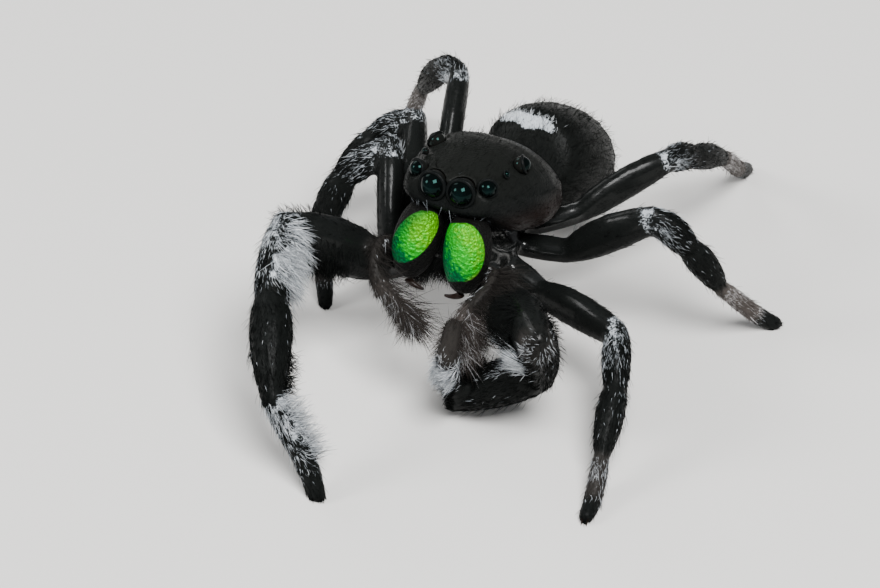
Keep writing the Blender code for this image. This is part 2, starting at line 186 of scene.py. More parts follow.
def skin_finish():
    """Grainy black skin, flecked white under pale hair, and glossy on the underside and on the femora."""
    finish = Finish("spider_skin", Specular_IOR_Level=0.04, Coat_Roughness=0.16)
    grain = finish.noise(0.05, 3.0, 0.6)
    flecks = (finish.noise(0.05, 3.0) + finish.attribute("pale") * 0.7).step(0.9, 1.15) * 0.9
    colour = marked(finish, finish.noise(0.4) * 0.5, flecks)
    finish.set(Base_Color=finish.mix(grain.step(0.55, 0.75) * 0.5, colour, OLIVE))
    gloss = finish.attribute("gloss")
    finish.set(Roughness=finish.noise(0.3) * 0.25 + 0.25 - gloss * 0.12, Coat_Weight=gloss * 0.8)
    finish.bump(finish.noise(0.06, 3.0, 0.6) + finish.cells(0.09) * 0.6, 0.012, 0.8)
    return finish.material


def coat_finish():
    """Hair in the colours of the markings, one colour to a hair, rougher where it is white."""
    finish = Finish("spider_coat", Specular_IOR_Level=0.008, Coat_Roughness=0.3)
    pale = finish.attribute("pale")
    finish.set(Coat_Weight=finish.attribute("gloss") * 0.3)
    finish.set(Base_Color=marked(finish, finish.attribute("tone"), pale), Roughness=pale * 0.2 + 0.4)
    return finish.material


def jaw_finish():
    """Metallic green scales: lime high and inwards, emerald low and outwards, as painted iridescent sheen
    from light on the right, with painted shade at the upper left, and black round the patch for dark hair and
    painted shade.
    """
    finish = Finish("jaw_green", Specular_IOR_Level=0.05)
    # Painted iridescent sheen: lime where the light from the right falls, emerald away from it.
    shift = finish.attribute("lime") + (finish.noise(0.12) - 0.5) * 0.9
    green = finish.mix(shift.step(0.05, 0.45), EMERALD, GREEN)
    green = finish.mix(shift.step(0.5, 1.0), green, LIME)
    green = finish.mix(finish.attribute("amber"), green, AMBER)
    # Painted shade on the upper left of each jaw.
    green = finish.mix(finish.attribute("shade"), green, JAW_SHADE_GREEN)
    # Black round the green patch, for dark hair and painted shade.
    edge = (finish.attribute("shown") + (finish.noise(0.15) - 0.5) * 0.2).step(0.3, 0.6)
    finish.set(Base_Color=finish.mix(edge, JAW_HAIR_AND_SHADE, green), Metallic=edge * 0.6)
    finish.set(Roughness=finish.noise(0.08) * 0.2 + 0.4)
    finish.bump(finish.cells(0.085) + finish.noise(0.05) * 0.8, 0.04)
    return finish.material


def eye_finish():
    """Black glass with a green glint, darker to its sides, and greyer where the collar grips it."""
    finish = Finish("eye_lens", Roughness=0.04, Specular_IOR_Level=0.08, Specular_Tint=LENS_TINT)
    rim = finish.attribute("rim")
    colour = finish.mix(rim.step(0.0, 0.55), LENS_BLACK, LENS_SIDE)
    finish.set(Base_Color=finish.mix(rim.step(0.8, 0.95), colour, LENS_FOOT))
    return finish.material


def fang_finish():
    """Dark horn, for the fangs and the claws."""
    finish = Finish("fang_horn", Roughness=0.3, Specular_IOR_Level=0.12)
    finish.set(Base_Color=finish.mix(finish.noise(0.3), HORN_BLACK, HORN_BROWN))
    return finish.material


# ---------------- places

TOUCHING = 0.12  # points of two nodes that are nearer than this lie at the cut between them
NEAR_TOUCHING = 0.15  # how much wider to look, past the nearest point, where too few lie so near
FOOT_END = 0.3  # length of a foot's end, whose middle is its tip
TOE_JOINT = (0.52, 0.8)  # shares of a foot between which its own joint lies
PITCH = math.radians(12)  # how far the head looks up
ABDOMEN_DROOP = math.radians(34)  # how far the abdomen hangs down behind


def numbers(collection, key, width, kind=np.float64):
    """One property of all items of a mesh's collection, as an array."""
    values = np.empty(len(collection) * width, kind)
    collection.foreach_get(key, values)
    return values.reshape(-1, width) if width > 1 else values


def node_points(node):
    return numbers(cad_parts[node].data.vertices, "co", 3) / MM


def box_middle(points):
    return (points.min(axis=0) + points.max(axis=0)) / 2


def joint_between(near, far):
    """Middle of the face where one node is parted from the next."""
    a, b = node_points(near), node_points(far)
    gaps = np.linalg.norm(a[:, None] - b[None], axis=2).min(axis=1)
    close = gaps < TOUCHING
    if close.sum() < 3:
        close = gaps < gaps.min() + NEAR_TOUCHING
    return box_middle(a[close])


def leg_path(pair, side):
    """Hip, knee, shin, ankle, toe joint and tip of a leg."""
    nodes = ["underside", *(f"leg_{pair}_{side}_{part}" for part in PART_NODES[:-1])]
    path = [joint_between(*two) for two in zip(nodes, nodes[1:])]
    foot = node_points(nodes[-1])
    away = np.linalg.norm(foot - path[-1], axis=1)
    tip = foot[away > away.max() - FOOT_END].mean(axis=0)
    line = tip - path[-1]
    share = (foot - path[-1]) @ line / (line @ line)
    toe = foot[(share > TOE_JOINT[0]) & (share < TOE_JOINT[1])]
    return [Vector(point) for point in (*path, box_middle(toe), tip)]


def centre(node):
    low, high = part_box(node)
    return (Vector(low) + Vector(high)) / 2 / MM


LEGS = {(pair, side): leg_path(pair, side) for pair in PAIRS for side in SIDES}
# The nodes that the skin replaces.
FLESH = sorted(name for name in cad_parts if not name.startswith(("eye_", "chelicera_", "fang_")))
EYES_MIDDLE = (centre("eye_front_middle_left") + centre("eye_front_middle_right")) / 2
HEAD = Matrix.Translation(EYES_MIDDLE) @ Matrix.Rotation(-PITCH, 4, "X")
INTO_HEAD = np.array(HEAD.inverted())


def head_way(vectors):
    """Vectors in the head's own frame: to its left, backwards and up."""
    return vectors @ INTO_HEAD[:3, :3].T


def head_place(points):
    """Places in the head's own frame, from the middle of its front eyes."""
    return head_way(points) + INTO_HEAD[:3, 3]


def abdomen_place(points):
    """Places in the abdomen's own frame: across, back and up from its middle."""
    rel = points - np.array(centre("abdomen") + Vector((0, 0.2, -0.165)))
    back = rel[:, 1] * math.cos(ABDOMEN_DROOP) - rel[:, 2] * math.sin(ABDOMEN_DROOP)
    up = rel[:, 1] * math.sin(ABDOMEN_DROOP) + rel[:, 2] * math.cos(ABDOMEN_DROOP)
    return rel[:, 0], back, up


def turned_to(way):
    """The turn that points an object's Z axis this way."""
    return way.to_track_quat("Z", "Y").to_euler()


# ---------------- meshes


def clear_choice():
    bpy.ops.object.select_all(action="DESELECT")


def choose(*objects):
    clear_choice()
    for obj in objects:
        obj.select_set(True)
    bpy.context.view_layer.objects.active = objects[0]


def place_in_scene(name, data):
    """A new object of the scene that holds this mesh, lamp or camera."""
    obj = bpy.data.objects.new(name, data)
    bpy.context.scene.collection.objects.link(obj)
    return obj


def node_copy(node, name):
    """A merged copy of a CAD node, in millimetres."""
    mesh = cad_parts[node].data.copy()
    mesh.materials.clear()
    mesh.transform(Matrix.Scale(1 / MM, 4))
    bm = bmesh.new()
    bm.from_mesh(mesh)
    bmesh.ops.remove_doubles(bm, verts=bm.verts, dist=1e-4)
    bm.to_mesh(mesh)
    bm.free()
    return place_in_scene(name, mesh)


def modify(obj, kind, **settings):
    choose(obj)
    modifier = obj.modifiers.new(kind.lower(), kind)
    for setting, value in settings.items():
        setattr(modifier, setting, value)
    bpy.ops.object.modifier_apply(modifier=modifier.name)


def set_points(mesh, points):
    mesh.vertices.foreach_set("co", points.astype(np.float32).ravel())
    mesh.update()


def settle(name):
    """Names the chosen object and its mesh, and brings its place into the mesh."""
    bpy.ops.object.transform_apply(location=True, rotation=True, scale=True)
    obj = bpy.context.object
    obj.name = obj.data.name = name
    return obj


def give(mesh, name, values):
    """Keeps a value for each point of a mesh, which its finish reads."""
    layer = mesh.attributes.new(name, "FLOAT", "POINT")
    layer.data.foreach_set("value", np.asarray(values, np.float32))


def to_metres(obj, finish, slot, *nodes):
    """Ends a piece: its mesh in metres, its finish, and the nodes that it replaces."""
    obj.data.transform(Matrix.Scale(MM, 4))
    obj.data.materials.clear()
    obj.data.materials.append(finish)
    obj.data.polygons.foreach_set("use_smooth", np.ones(len(obj.data.polygons), bool))
    obj.data.update()
    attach(obj, "root")
    if nodes:
        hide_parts(*nodes)
    return obj


# ---------------- skin

# Radii of the balls that fill the hip, knee, shin and ankle of each pair.
JOINT_BALLS = {
    1: (0.42, 0.52, 0.52, 0.36),
    2: (0.34, 0.34, 0.33, 0.24),
    3: (0.3, 0.3, 0.29, 0.22),
    4: (0.3, 0.3, 0.29, 0.22),
}
# How deep the skin lies in the solids, which is about the depth of the coat.
BODY_DEPTH, ABDOMEN_DEPTH, FEELER_DEPTH = 0.03, 0.05, 0.11
LEG_DEPTHS = np.array((0.03, 0.04, 0.05, 0.04, 0.03))  # femur to tarsus
DEEPEST = 0.15  # a point is taken to lie no deeper than this in a cut


def joint_balls():
    """Balls that fill each leg's joints, so that the skin runs on across them."""
    clear_choice()
    balls = []
    for (pair, _), path in LEGS.items():
        for middle, radius in zip(path, JOINT_BALLS[pair]):
            bpy.ops.mesh.primitive_ico_sphere_add(subdivisions=2, radius=radius, location=middle)
            balls.append(bpy.context.object)
    return balls


def draw_skin():
    """One skin over all the flesh, drawn through every cut."""
    copies = [node_copy(node, f"flesh_{node}") for node in FLESH]
    for copy in copies:
        modify(copy, "DISPLACE", strength=SWELL, mid_level=0.0)
    choose(*copies, *joint_balls())
    bpy.ops.object.join()
    obj = settle("skin")
    grain = SKIN_GRAIN * 1.0
    modify(obj, "REMESH", mode="VOXEL", voxel_size=grain, adaptivity=0.0, use_smooth_shade=True)
    modify(obj, "SMOOTH", factor=0.5, iterations=22)
    return obj


def nearest_flesh(points):
    """The number in FLESH of the node nearest to each point, and how far over its surface the point is."""
    corners, faces, owner = [], [], []
    for index, node in enumerate(FLESH):
        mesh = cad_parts[node].data
        mesh.calc_loop_triangles()
        triangles = numbers(mesh.loop_triangles, "vertices", 3, np.int32) + len(corners)
        corners += [tuple(v.co / MM) for v in mesh.vertices]
        faces += triangles.tolist()
        owner += [index] * len(triangles)
    tree = BVHTree.FromPolygons(corners, faces, all_triangles=True)
    hits = [tree.find_nearest(point) for point in points.tolist()]
    feet = np.array([hit[0] for hit in hits])
    facing = np.array([hit[1] for hit in hits])
    return np.array([owner[hit[2]] for hit in hits]), ((points - feet) * facing).sum(axis=1)


class Skin:
    """The skin's points and normals, and where each lies on the spider, as arrays."""

    def __init__(self, obj):
        self.mesh = obj.data
        self.points = numbers(self.mesh.vertices, "co", 3)
        self.normals = numbers(self.mesh.vertices, "normal", 3)
        self.node, self.height = nearest_flesh(self.points)
        count = len(self.points)
        self.leg = np.zeros(count, int)  # pair, 0 off the legs
        self.left = self.points[:, 0] > 0
        self.part = np.full(count, -1)  # FEMUR to TARSUS, -1 off the legs
        self.along = np.zeros(count)  # share of the way along the part
        self.inner = np.zeros(count)  # 1 on the inner side of the bent leg, -1 on the outer side
        self.way = np.zeros((count, 3))  # the lie of the coat
        self.inwards = np.zeros((count, 3))  # towards the inner side of the bent leg
        for (pair, side), path in LEGS.items():
            for part in range(5):
                self.measure(pair, side, part, [np.array(point) for point in path])
        self.front = self.leg == 1
        self.folded = self.front & self.left
        self.lay_body_coat()
        self.way = self.spread(self.way, 5)
        self.inwards = self.spread(self.inwards, 3)

    def measure(self, pair, side, part, path):
        """Finds a part's points, and their places along it and round it."""
        mine = self.node == FLESH.index(f"leg_{pair}_{side}_{PART_NODES[part]}")
        start, end = path[part], path[part + 1]
        line = end - start
        share = (self.points - start) @ line / (line @ line)
        if part == METATARSUS:
            mine &= share < 1
        if part == TARSUS:
            mine &= self.part != METATARSUS
        ahead = line / np.linalg.norm(line)
        up = (start + end) / 2 - (path[0] + path[-1]) / 2
        up -= ahead * (up @ ahead)
        up /= np.linalg.norm(up)
        if (pair, side, part) == (1, "left", METATARSUS):
            up = -up  # the folded leg is rolled, so the fan on its ankle faces outwards
        self.leg[mine] = pair
        self.left[mine] = side == "left"
        self.part[mine] = part
        self.along[mine] = share[mine]
        self.inner[mine] = -(self.normals[mine] @ up)
        self.way[mine] = ahead
        self.inwards[mine] = -up

    def lay_body_coat(self):
        """On the body the coat lies backwards, and on the feelers towards their tips."""
        for index, node in enumerate(FLESH):
            if node.startswith("leg_"):
                continue
            mine = self.node == index
            way = np.array((0.0, 1.0, -0.1))
            if node == "underside":
                way = np.array((0.0, 0.7, -0.3))
            if node == "abdomen":
                # Over its front face the coat climbs to the back, and then lies backwards.
                back = np.array((0.0, math.cos(ABDOMEN_DROOP), -math.sin(ABDOMEN_DROOP)))
                rise = np.array((0.0, math.sin(ABDOMEN_DROOP), math.cos(ABDOMEN_DROOP)))
                way = back + rise * np.clip(-1.5 * self.normals[mine] @ back, 0, 1.5)[:, None]
            if node.startswith("palp_"):
                side = node.split("_")[1]
                way = np.array((centre(f"palp_{side}_tip") - centre(f"palp_{side}_arm")).normalized())
            self.way[mine] = way

    def spread(self, values, rounds):
        """Values averaged with their neighbours' a few times."""
        edges = numbers(self.mesh.edges, "vertices", 2, np.int32)
        a, b = np.concatenate([edges, edges[:, ::-1]]).T
        count = np.bincount(a, minlength=len(values)) + 1.0
        columns = values.reshape(len(values), -1).T
        for _ in range(rounds):
            columns = [(column + np.bincount(a, column[b], len(values))) / count for column in columns]
        return np.array(columns).T.reshape(values.shape)

    def named(self, start):
        """Which points lie on the nodes whose names start so."""
        return np.isin(self.node, [index for index, node in enumerate(FLESH) if node.startswith(start)])

    def everywhere(self, way):
        """The same lie for all of the coat."""
        return np.tile(way, (len(self.points), 1))

    def move(self, points):
        """Sets the skin's points and reads its normals again."""
        self.points = points
        set_points(self.mesh, points)
        self.normals = numbers(self.mesh.vertices, "normal", 3)


def ramp(values, low, high):
    """0 below low, 1 above high, smooth between them."""
    share = np.clip((values - low) / (high - low), 0, 1)
    return share * share * (3 - 2 * share)


def grip_lenses(points):
    """Moves the points that lie within a lens out to just under its surface."""
    for eye, (radius, _, _) in EYES.items():
        for side in SIDES:
            middle = np.array(eye_place(eye, side)[0])
            away = points - middle
            reach = np.linalg.norm(away, axis=1)
            near = reach < 1.3 * radius
            wanted = np.maximum(reach, 0.98 * radius)
            points[near] = middle + away[near] * (wanted / reach)[near, None]


def sink_skin(skin):
    """Sets the skin into the solids by the depth of the coat, and closes it round the lenses."""
    depth = np.full(len(skin.points), BODY_DEPTH)
    legs = skin.leg > 0
    depth[legs] = LEG_DEPTHS[skin.part[legs]]
    depth[skin.named("abdomen")] = ABDOMEN_DEPTH
    depth[skin.named("palp")] = FEELER_DEPTH
    depth = skin.spread(depth + np.clip(skin.height, -DEEPEST, SWELL), 4)
    points = skin.points - skin.normals * depth[:, None]
    grip_lenses(points)
    points[:, 2] = np.maximum(points[:, 2], SKIN_FLOOR)
    skin.move(points)


# ---------------- markings

BAND_RISE = 34.5  # how far the white band lies round the abdomen's front, from its foremost point
BAND_SHIFT = 0.3  # how far it lies to the spider's right
BAND_HALF = (0.92, 6.6)  # half its width, and half its height in degrees
# The grey spot is white hair with a painted highlight.
FOLDED_SPOT = (0.14, -0.44, 0.21)  # middle of the folded leg's grey spot, from its knee
PATCHINESS = 0.09  # size of the lumps that white hairs stand in
LOBE_WAVE = 7.5  # radians of the band's lobed edge to a millimetre
SCATTER = (73856093, 19349663, 83492791)  # large primes, which give each cell of space its own number


def mottle(points, grain):
    """Smooth random values from 0 to 1 at places in space, in lumps as big as the grain."""
    cell = np.floor(points / grain).astype(np.int64)
    share = points / grain - cell
    share = share * share * (3 - 2 * share)
    total = np.zeros(len(points))
    for corner in ((x, y, z) for x in (0, 1) for y in (0, 1) for z in (0, 1)):
        place = (cell + corner) * SCATTER
        key = (place[:, 0] ^ place[:, 1] ^ place[:, 2]) & 0xFFFF
        value = ((key * 40503 + 12829) & 0xFFFF) / 0xFFFF
        total += value * np.where(corner, share, 1 - share).prod(axis=1)
    return np.clip((total - 0.5) * 1.7 + 0.5, 0, 1)


def abdomen_marks(skin):
    """A short white band with a lobed edge over the front, then a middle spot and a pair of small ones."""
    across, back, up = abdomen_place(skin.points)
    off = across + BAND_SHIFT
    rise = np.degrees(np.arctan2(up / 1.6, -back / 2.3)) - BAND_RISE
    lobes = np.where(rise < 0, 1.7, 0.6) * np.cos((across + 0.2) * LOBE_WAVE)
    rise += lobes + 1.2 * off
    band = 1 - ramp(np.abs(off / BAND_HALF[0]) ** 3 + np.abs(rise / BAND_HALF[1]) ** 3, 0.75, 1.15)
    before, behind = np.maximum(0.9 - back, 0), np.maximum(back - 0.95, 0)
    spot = 1 - ramp(np.abs(across) + 0.5 * before + 2 * behind, 0.26, 0.38)
    pair = 1 - ramp(np.hypot(np.abs(across) - 0.62, (back - 1.35) * 0.8), 0.12, 0.22)
    return np.maximum(band, np.maximum(spot, pair) * (up > 0.3))


def folded_knee(skin):
    """The grey spot on the outer face of the folded leg's knee, 0 to 1: white hair and a painted highlight.
    """
    middle = np.array(LEGS[1, "left"][1]) + FOLDED_SPOT
    return (1 - ramp(np.linalg.norm(skin.points - middle, axis=1), 0.3, 0.6)) * skin.front


def by_leg(skin, folded, front, other):
    """Values for the folded leg, the other front leg, and the legs of pairs 2 to 4."""
    return np.where(skin.folded, folded, np.where(skin.front, front, other))


def femur_marks(skin):
    """A little white at the knee."""
    other = 0.62 * ramp(skin.along, 0.88, 0.96) * ramp(-skin.inner, -0.7, -0.1)
    # On the folded leg, the white is the grey spot's hair and painted highlight.
    return by_leg(skin, 0.65 * folded_knee(skin), 0.5 * ramp(skin.along, 0.93, 0.99), other)


def patella_marks(skin):
    """A white fan on the inner side and a cap on pair 1, and streaks that thin out on the others."""
    along, inner = skin.along, skin.inner
    low, end = np.where(skin.folded, -0.35, -0.92), np.where(skin.folded, 0.5, 0.8)
    fan = 0.8 * ramp(inner, low, low + 0.32) * ramp(along, 0.12, 0.32) * (1 - ramp(along, end, end + 0.15))
    cap = 0.6 - 0.42 * ramp(along, 0.25, 0.6)
    # The folded leg's cap is the grey spot's hair and painted highlight.
    folded_cap = 0.65 * folded_knee(skin) + 0.02
    streaks = (0.55 - 0.43 * ramp(along, 0.2, 0.95)) * ramp(inner, -1.05, -0.6)
    return by_leg(skin, np.maximum(fan, folded_cap), np.maximum(fan, cap), streaks)


def tibia_marks(skin):
    """White at the knee's end, on the inner side on pair 1."""
    along, inner = skin.along, skin.inner
    folded = 0.75 * ramp(inner, 0.1, 0.6) * (1 - ramp(along, 0.2, 0.45))
    front = 0.6 * ramp(inner, 0.0, 0.5) * (1 - ramp(along, 0.0, 0.12))
    return by_leg(skin, folded, front, 0.14 * (1 - ramp(along, 0, 0.3))) + 0.015


def metatarsus_marks(skin):
    """A white fan on the ankle of pair 1, and pale socks on the others."""
    along, inner = skin.along, skin.inner
    fan = np.where(skin.folded, 0.25, 0.7) * ramp(inner, -1.25, -0.85) + 0.35 * ramp(inner, -0.1, 0.3)
    folded = fan * (0.6 * ramp(along, 0.3, 0.6)) + 0.35 * ramp(along, 0.65, 0.85)
    front = fan * (ramp(along, 0.0, 0.06) * (1 - 0.5 * ramp(along, 0.6, 1.0)))
    sock = np.where(skin.leg == 2, 0.42, 0.55) * ramp(along, 0.0, 0.12)
    sock *= 1 - 0.7 * (ramp(along, 0.6, 0.7) - ramp(along, 0.85, 0.95))
    return by_leg(skin, folded, front, sock)


def tarsus_marks(skin):
    """Pale at its start, and black at the tip."""
    along = skin.along
    folded = 0.5 * (1 - ramp(along, 0.15, 0.45)) * ramp(-skin.normals[:, 0], -0.7, 0.3)
    return by_leg(skin, folded, 0.42 * (1 - ramp(along, 0.2, 0.5)), 0.35 * (1 - ramp(along, 0.1, 0.3)))


def leg_marks(skin):
    """The share of white hairs on the legs, in lumps."""
    pale = np.zeros(len(skin.part))
    for part, marks in enumerate((femur_marks, patella_marks, tibia_marks, metatarsus_marks, tarsus_marks)):
        mine = skin.part == part
        pale[mine] = marks(skin)[mine]
    return pale * (0.4 + 1.2 * mottle(skin.points, PATCHINESS))


def feeler_marks(skin):
    """A broken white line along the side of each feeler's arm that faces the jaws, and some white hairs."""
    inner = -np.sign(skin.points[:, 0]) * skin.normals[:, 0]
    arm = skin.named("palp_left_arm") | skin.named("palp_right_arm")
    line = ramp(inner, 0.5, 0.85) * ramp(-skin.normals[:, 1] + skin.normals[:, 2], -0.2, 0.3)
    beads = ramp(mottle(skin.points, 0.17), 0.5, 0.6)
    return np.where(arm, 0.8 * line * beads, np.where(skin.left, 0.16, 0.09))


def mark(skin):
    """The markings, which the skin and the coat share."""
    count = len(skin.points)
    warm, bloom, dun = np.zeros(count), np.full(count, 0.2), np.zeros(count)
    abdomen, head, feelers = (skin.named(start) for start in ("abdomen", "carapace", "palp"))
    across, _, high = head_place(skin.points).T
    pale = leg_marks(skin)
    pale[abdomen] = abdomen_marks(skin)[abdomen]
    pale[feelers] = feeler_marks(skin)[feelers]
    warm[head] = (0.4 * (ramp(-high, 0.45, 1.0) * ramp(np.abs(across), 1.0, 1.5)))[head]
    # Painted sheen: olive, lighter higher on the head and low on its flanks, even over the abdomen.
    bloom[head] = (0.5 * ramp(high, -0.8, 0.5))[head]
    bloom[abdomen] = 0.3
    dun[feelers] = (0.1 + 0.3 * skin.named("palp_left_tip") + 0.14 * skin.named("palp_right_tip"))[feelers]
    dun[(skin.leg > 1) & (skin.part == METATARSUS)] = 0.45
    dun[(skin.leg == 2) & (skin.part == METATARSUS)] = 0.12
    dun[skin.folded & (skin.part == TARSUS)] = 0.12
    # Greyish brown on the folded knee's spot, part of its painted highlight.
    dun += 0.2 * folded_knee(skin)
    bare = np.where(skin.part == FEMUR, 0.17, skin.named("underside"))
    skin.pale = skin.spread(pale, 1)
    skin.warm = skin.spread(warm, 4)
    skin.bloom = skin.spread(bloom, 4)
    skin.dun = skin.spread(dun, 4)
    skin.gloss = skin.spread(ramp(skin.normals[:, 2], -0.35, 0.2) * bare, 2)


def unwrap(obj):
    choose(obj)
    obj.data.uv_layers.new(name="OFBake")
    bpy.ops.object.mode_set(mode="EDIT")
    bpy.ops.mesh.select_all(action="SELECT")
    bpy.ops.uv.smart_project(angle_limit=ISLAND_BEND, island_margin=0.0005)
    bpy.ops.object.mode_set(mode="OBJECT")


# ---------------- coat

HANGING = (0.0, -0.3, -1.0)  # the lie of the hair over and under the jaws
HAIR_COUNTS = {1: 11500, 2: 7400, 3: 6600, 4: 6600}  # short hairs on a leg of each pair
BEARD_COUNTS = {"left": 2400, "right": 1000}
# The short coat of a leg, from femur to tarsus: how close, how long and how far raised its hairs are.
HAIR_SHARES = np.array((0.9, 1.2, 1.1, 1.2, 1.3))
HAIR_LENGTHS = np.array((0.16, 0.22, 0.2, 0.2, 0.15))
HAIR_LIFTS = np.array((8.0, 13.0, 11.0, 13.0, 12.0))
BRISTLE_SHARES = np.array((0.6, 0.9, 1.0, 1.0, 0.5))
# The white fans of pair 1, from femur to tarsus: where they are, and how long.
FAN_PARTS = np.array((0.0, 1.0, 0.0, 1.0, 0.0))
FAN_LENGTHS = np.array((0.5, 0.6, 0.5, 0.65, 0.3))
FOLDED_FAN_LENGTHS = np.array((0.5, 0.8, 0.5, 0.42, 0.3))
LIFT_RANGE = (3, 85)  # least and most that a hair is raised from the skin
# The rings of a hair, by their number: share of its length, and share of its thickness.
HAIR_RINGS = {2: ((0.0, 0.8), (0.55, 0.7)), 3: ((0.0, 0.8), (0.4, 0.8), (0.75, 0.5))}
TRIANGLE = [(math.cos(turn), math.sin(turn)) for turn in map(math.radians, (90, 210, 330))]


class Ground:
    """The skin's triangles, from which hairs grow."""

    def __init__(self, skin):
        mesh = skin.mesh
        mesh.calc_loop_triangles()
        self.skin = skin
        self.corners = numbers(mesh.loop_triangles, "vertices", 3, np.int32)
        loops = numbers(mesh.loop_triangles, "loops", 3, np.int32)
        self.uv = numbers(mesh.uv_layers["OFBake"].uv, "vector", 2)[loops]
        a, b, c = (skin.points[self.corners[:, k]] for k in range(3))
        self.area = np.linalg.norm(np.cross(b - a, c - a), axis=1) / 2

    def roots(self, count, weight, way):
        """Random roots, as close as the weight over the skin says, for hairs that lie the given way."""
        share = self.area * weight[self.corners].mean(axis=1)
        chosen = rng.choice(len(share), count, p=share / share.sum())
        u, v = rng.random(count), rng.random(count)
        over = u + v > 1
        u[over], v[over] = 1 - u[over], 1 - v[over]
        mixed = np.stack([1 - u - v, u, v], axis=1)
        return Roots(self, chosen, mixed, way)


class Roots:
    """Where hairs grow, with the skin's values there."""

    def __init__(self, ground, chosen, mixed, way):
        self.corners = ground.corners[chosen]
        self.mixed = mixed
        skin = ground.skin
        self.places = self.read(skin.points)
        self.normals = unit(self.read(skin.normals))
        way = self.read(way)
        self.ways = unit(way - self.normals * (way * self.normals).sum(axis=1)[:, None] + 1e-6)
        self.uv = (ground.uv[chosen] * mixed[:, :, None]).sum(axis=1)
        self.marks = {key: self.read(getattr(skin, key)) for key in MARKS}
        self.count = len(chosen)

    def read(self, values):
        corner = values[self.corners]
        return (corner * (self.mixed if values.ndim == 1 else self.mixed[:, :, None])).sum(axis=1)


def unit(vectors):
    return vectors / np.maximum(np.linalg.norm(vectors, axis=1), 1e-9)[:, None]


def around(low, high, count):
    return low + (high - low) * rng.random(count)


def hairs(roots, length, width, lift, rings=2, splay=14, curl=0.6):
    """Tapered three-sided hairs that start within the skin and curl down along it."""
    count = roots.count
    turn = np.radians(rng.normal(0, splay, count))[:, None]
    across = np.cross(roots.normals, roots.ways)
    way = roots.ways * np.cos(turn) + across * np.sin(turn)
    side = np.cross(way, roots.normals)
    rise = np.radians(np.clip(lift * rng.normal(1, 0.25, count), *LIFT_RANGE))[:, None]
    length = (length * np.clip(rng.normal(1, 0.22, count), 0.4, 1.7))[:, None]
    width = (width * around(0.8, 1.2, count))[:, None]

    def middle(share):
        out = np.sin(rise) * (share - curl * share * share * 0.5)
        ahead = np.cos(rise) * share + np.sin(rise) * curl * share * share * 0.4
        return roots.places + length * (way * ahead + roots.normals * out) - roots.normals * width

    layers = []
    for share, thickness in HAIR_RINGS[rings]:
        for x, y in TRIANGLE:
            offset = side * x + roots.normals * y
            layers.append(middle(share) + offset * width / 2 * thickness)
    layers.append(middle(1.0))
    points = np.stack(layers, axis=1)
    points[:, :, 2] = np.maximum(points[:, :, 2], HAIR_FLOOR)
    return points


def hair_faces(rings):
    """Triangles of one hair: a base, sides and a pointed end."""
    faces = [(2, 1, 0)]
    for r in range(rings - 1):
        for k in range(3):
            j = (k + 1) % 3
            a, b, c, d = 3 * r + k, 3 * r + j, 3 * r + 3 + j, 3 * r + 3 + k
            faces += [(a, b, c), (a, c, d)]
    last = 3 * (rings - 1)
    faces += [(last + k, last + (k + 1) % 3, last + 3) for k in range(3)]
    return np.array(faces)


def hair_patch(rings):
    """Places of a hair's points on the unwrap, from its root: a triangle for each ring, then the tip."""
    spots = []
    for ring in range(rings):
        reach = PATCH * (1 - 0.5 * ring / (rings - 1))
        spots += [(reach * x, reach * y) for x, y in TRIANGLE]
    return np.array([*spots, (0.0, 0.0)])


def mesh_of_triangles(name, points, faces):
    mesh = bpy.data.meshes.new(name)
    mesh.vertices.add(len(points))
    mesh.vertices.foreach_set("co", points.astype(np.float32).ravel())
    mesh.loops.add(faces.size)
    mesh.loops.foreach_set("vertex_index", faces.astype(np.int32).ravel())
    mesh.polygons.add(len(faces))
    mesh.polygons.foreach_set("loop_start", np.arange(0, faces.size, 3, dtype=np.int32))
    mesh.update(calc_edges=True)
    return mesh


def coat_piece(name, tufts):
    """Joins batches of hairs into one piece of coat, with its markings and its map."""
    points, faces, uvs = [], [], []
    values = {key: [] for key in (*MARKS, "tone")}
    start = 0
    for roots, hair_points, rings, tone in tufts:
        each = hair_points.shape[1]
        pattern = hair_faces(rings)
        first = start + each * np.arange(roots.count)
        faces.append((first[:, None, None] + pattern[None]).reshape(-1, 3))
        points.append(hair_points.reshape(-1, 3))
        patches = roots.uv[:, None] + hair_patch(rings)[None]
        uvs.append(patches[:, pattern].reshape(-1, 2))
        chance = rng.random(roots.count)
        pale = np.where(roots.marks["pale"] > chance, around(0.4, 1.0, roots.count), 0.0)
        for key, value in {**roots.marks, "pale": pale, "tone": tone}.items():
            values[key].append(np.repeat(value, each))
        start += each * roots.count
    mesh = mesh_of_triangles(name, np.concatenate(points), np.concatenate(faces))
    for key, batches in values.items():
        give(mesh, key, np.concatenate(batches))
    layer = mesh.uv_layers.new(name="OFBake")
    layer.uv.foreach_set("vector", np.clip(np.concatenate(uvs), 0, 1).astype(np.float32).ravel())
    return to_metres(place_in_scene(name, mesh), COAT, "black_coat")


def bed(ground, count, weight, length, width, lift, rings=2, tone=(0.0, 0.7), way=None, white=0.0, **lie):
    """One batch of hairs. Length and lift are numbers, or values over the skin. White adds to pale."""
    count = max(int(count * (1.0)), 8)
    roots = ground.roots(count, weight, ground.skin.way if way is None else way)
    long = roots.read(length) if isinstance(length, np.ndarray) else length
    high = roots.read(lift) if isinstance(lift, np.ndarray) else lift
    roots.marks["pale"] += white
    points = hairs(roots, long, width, high, rings, **lie)
    return roots, points, rings, around(*tone, count)


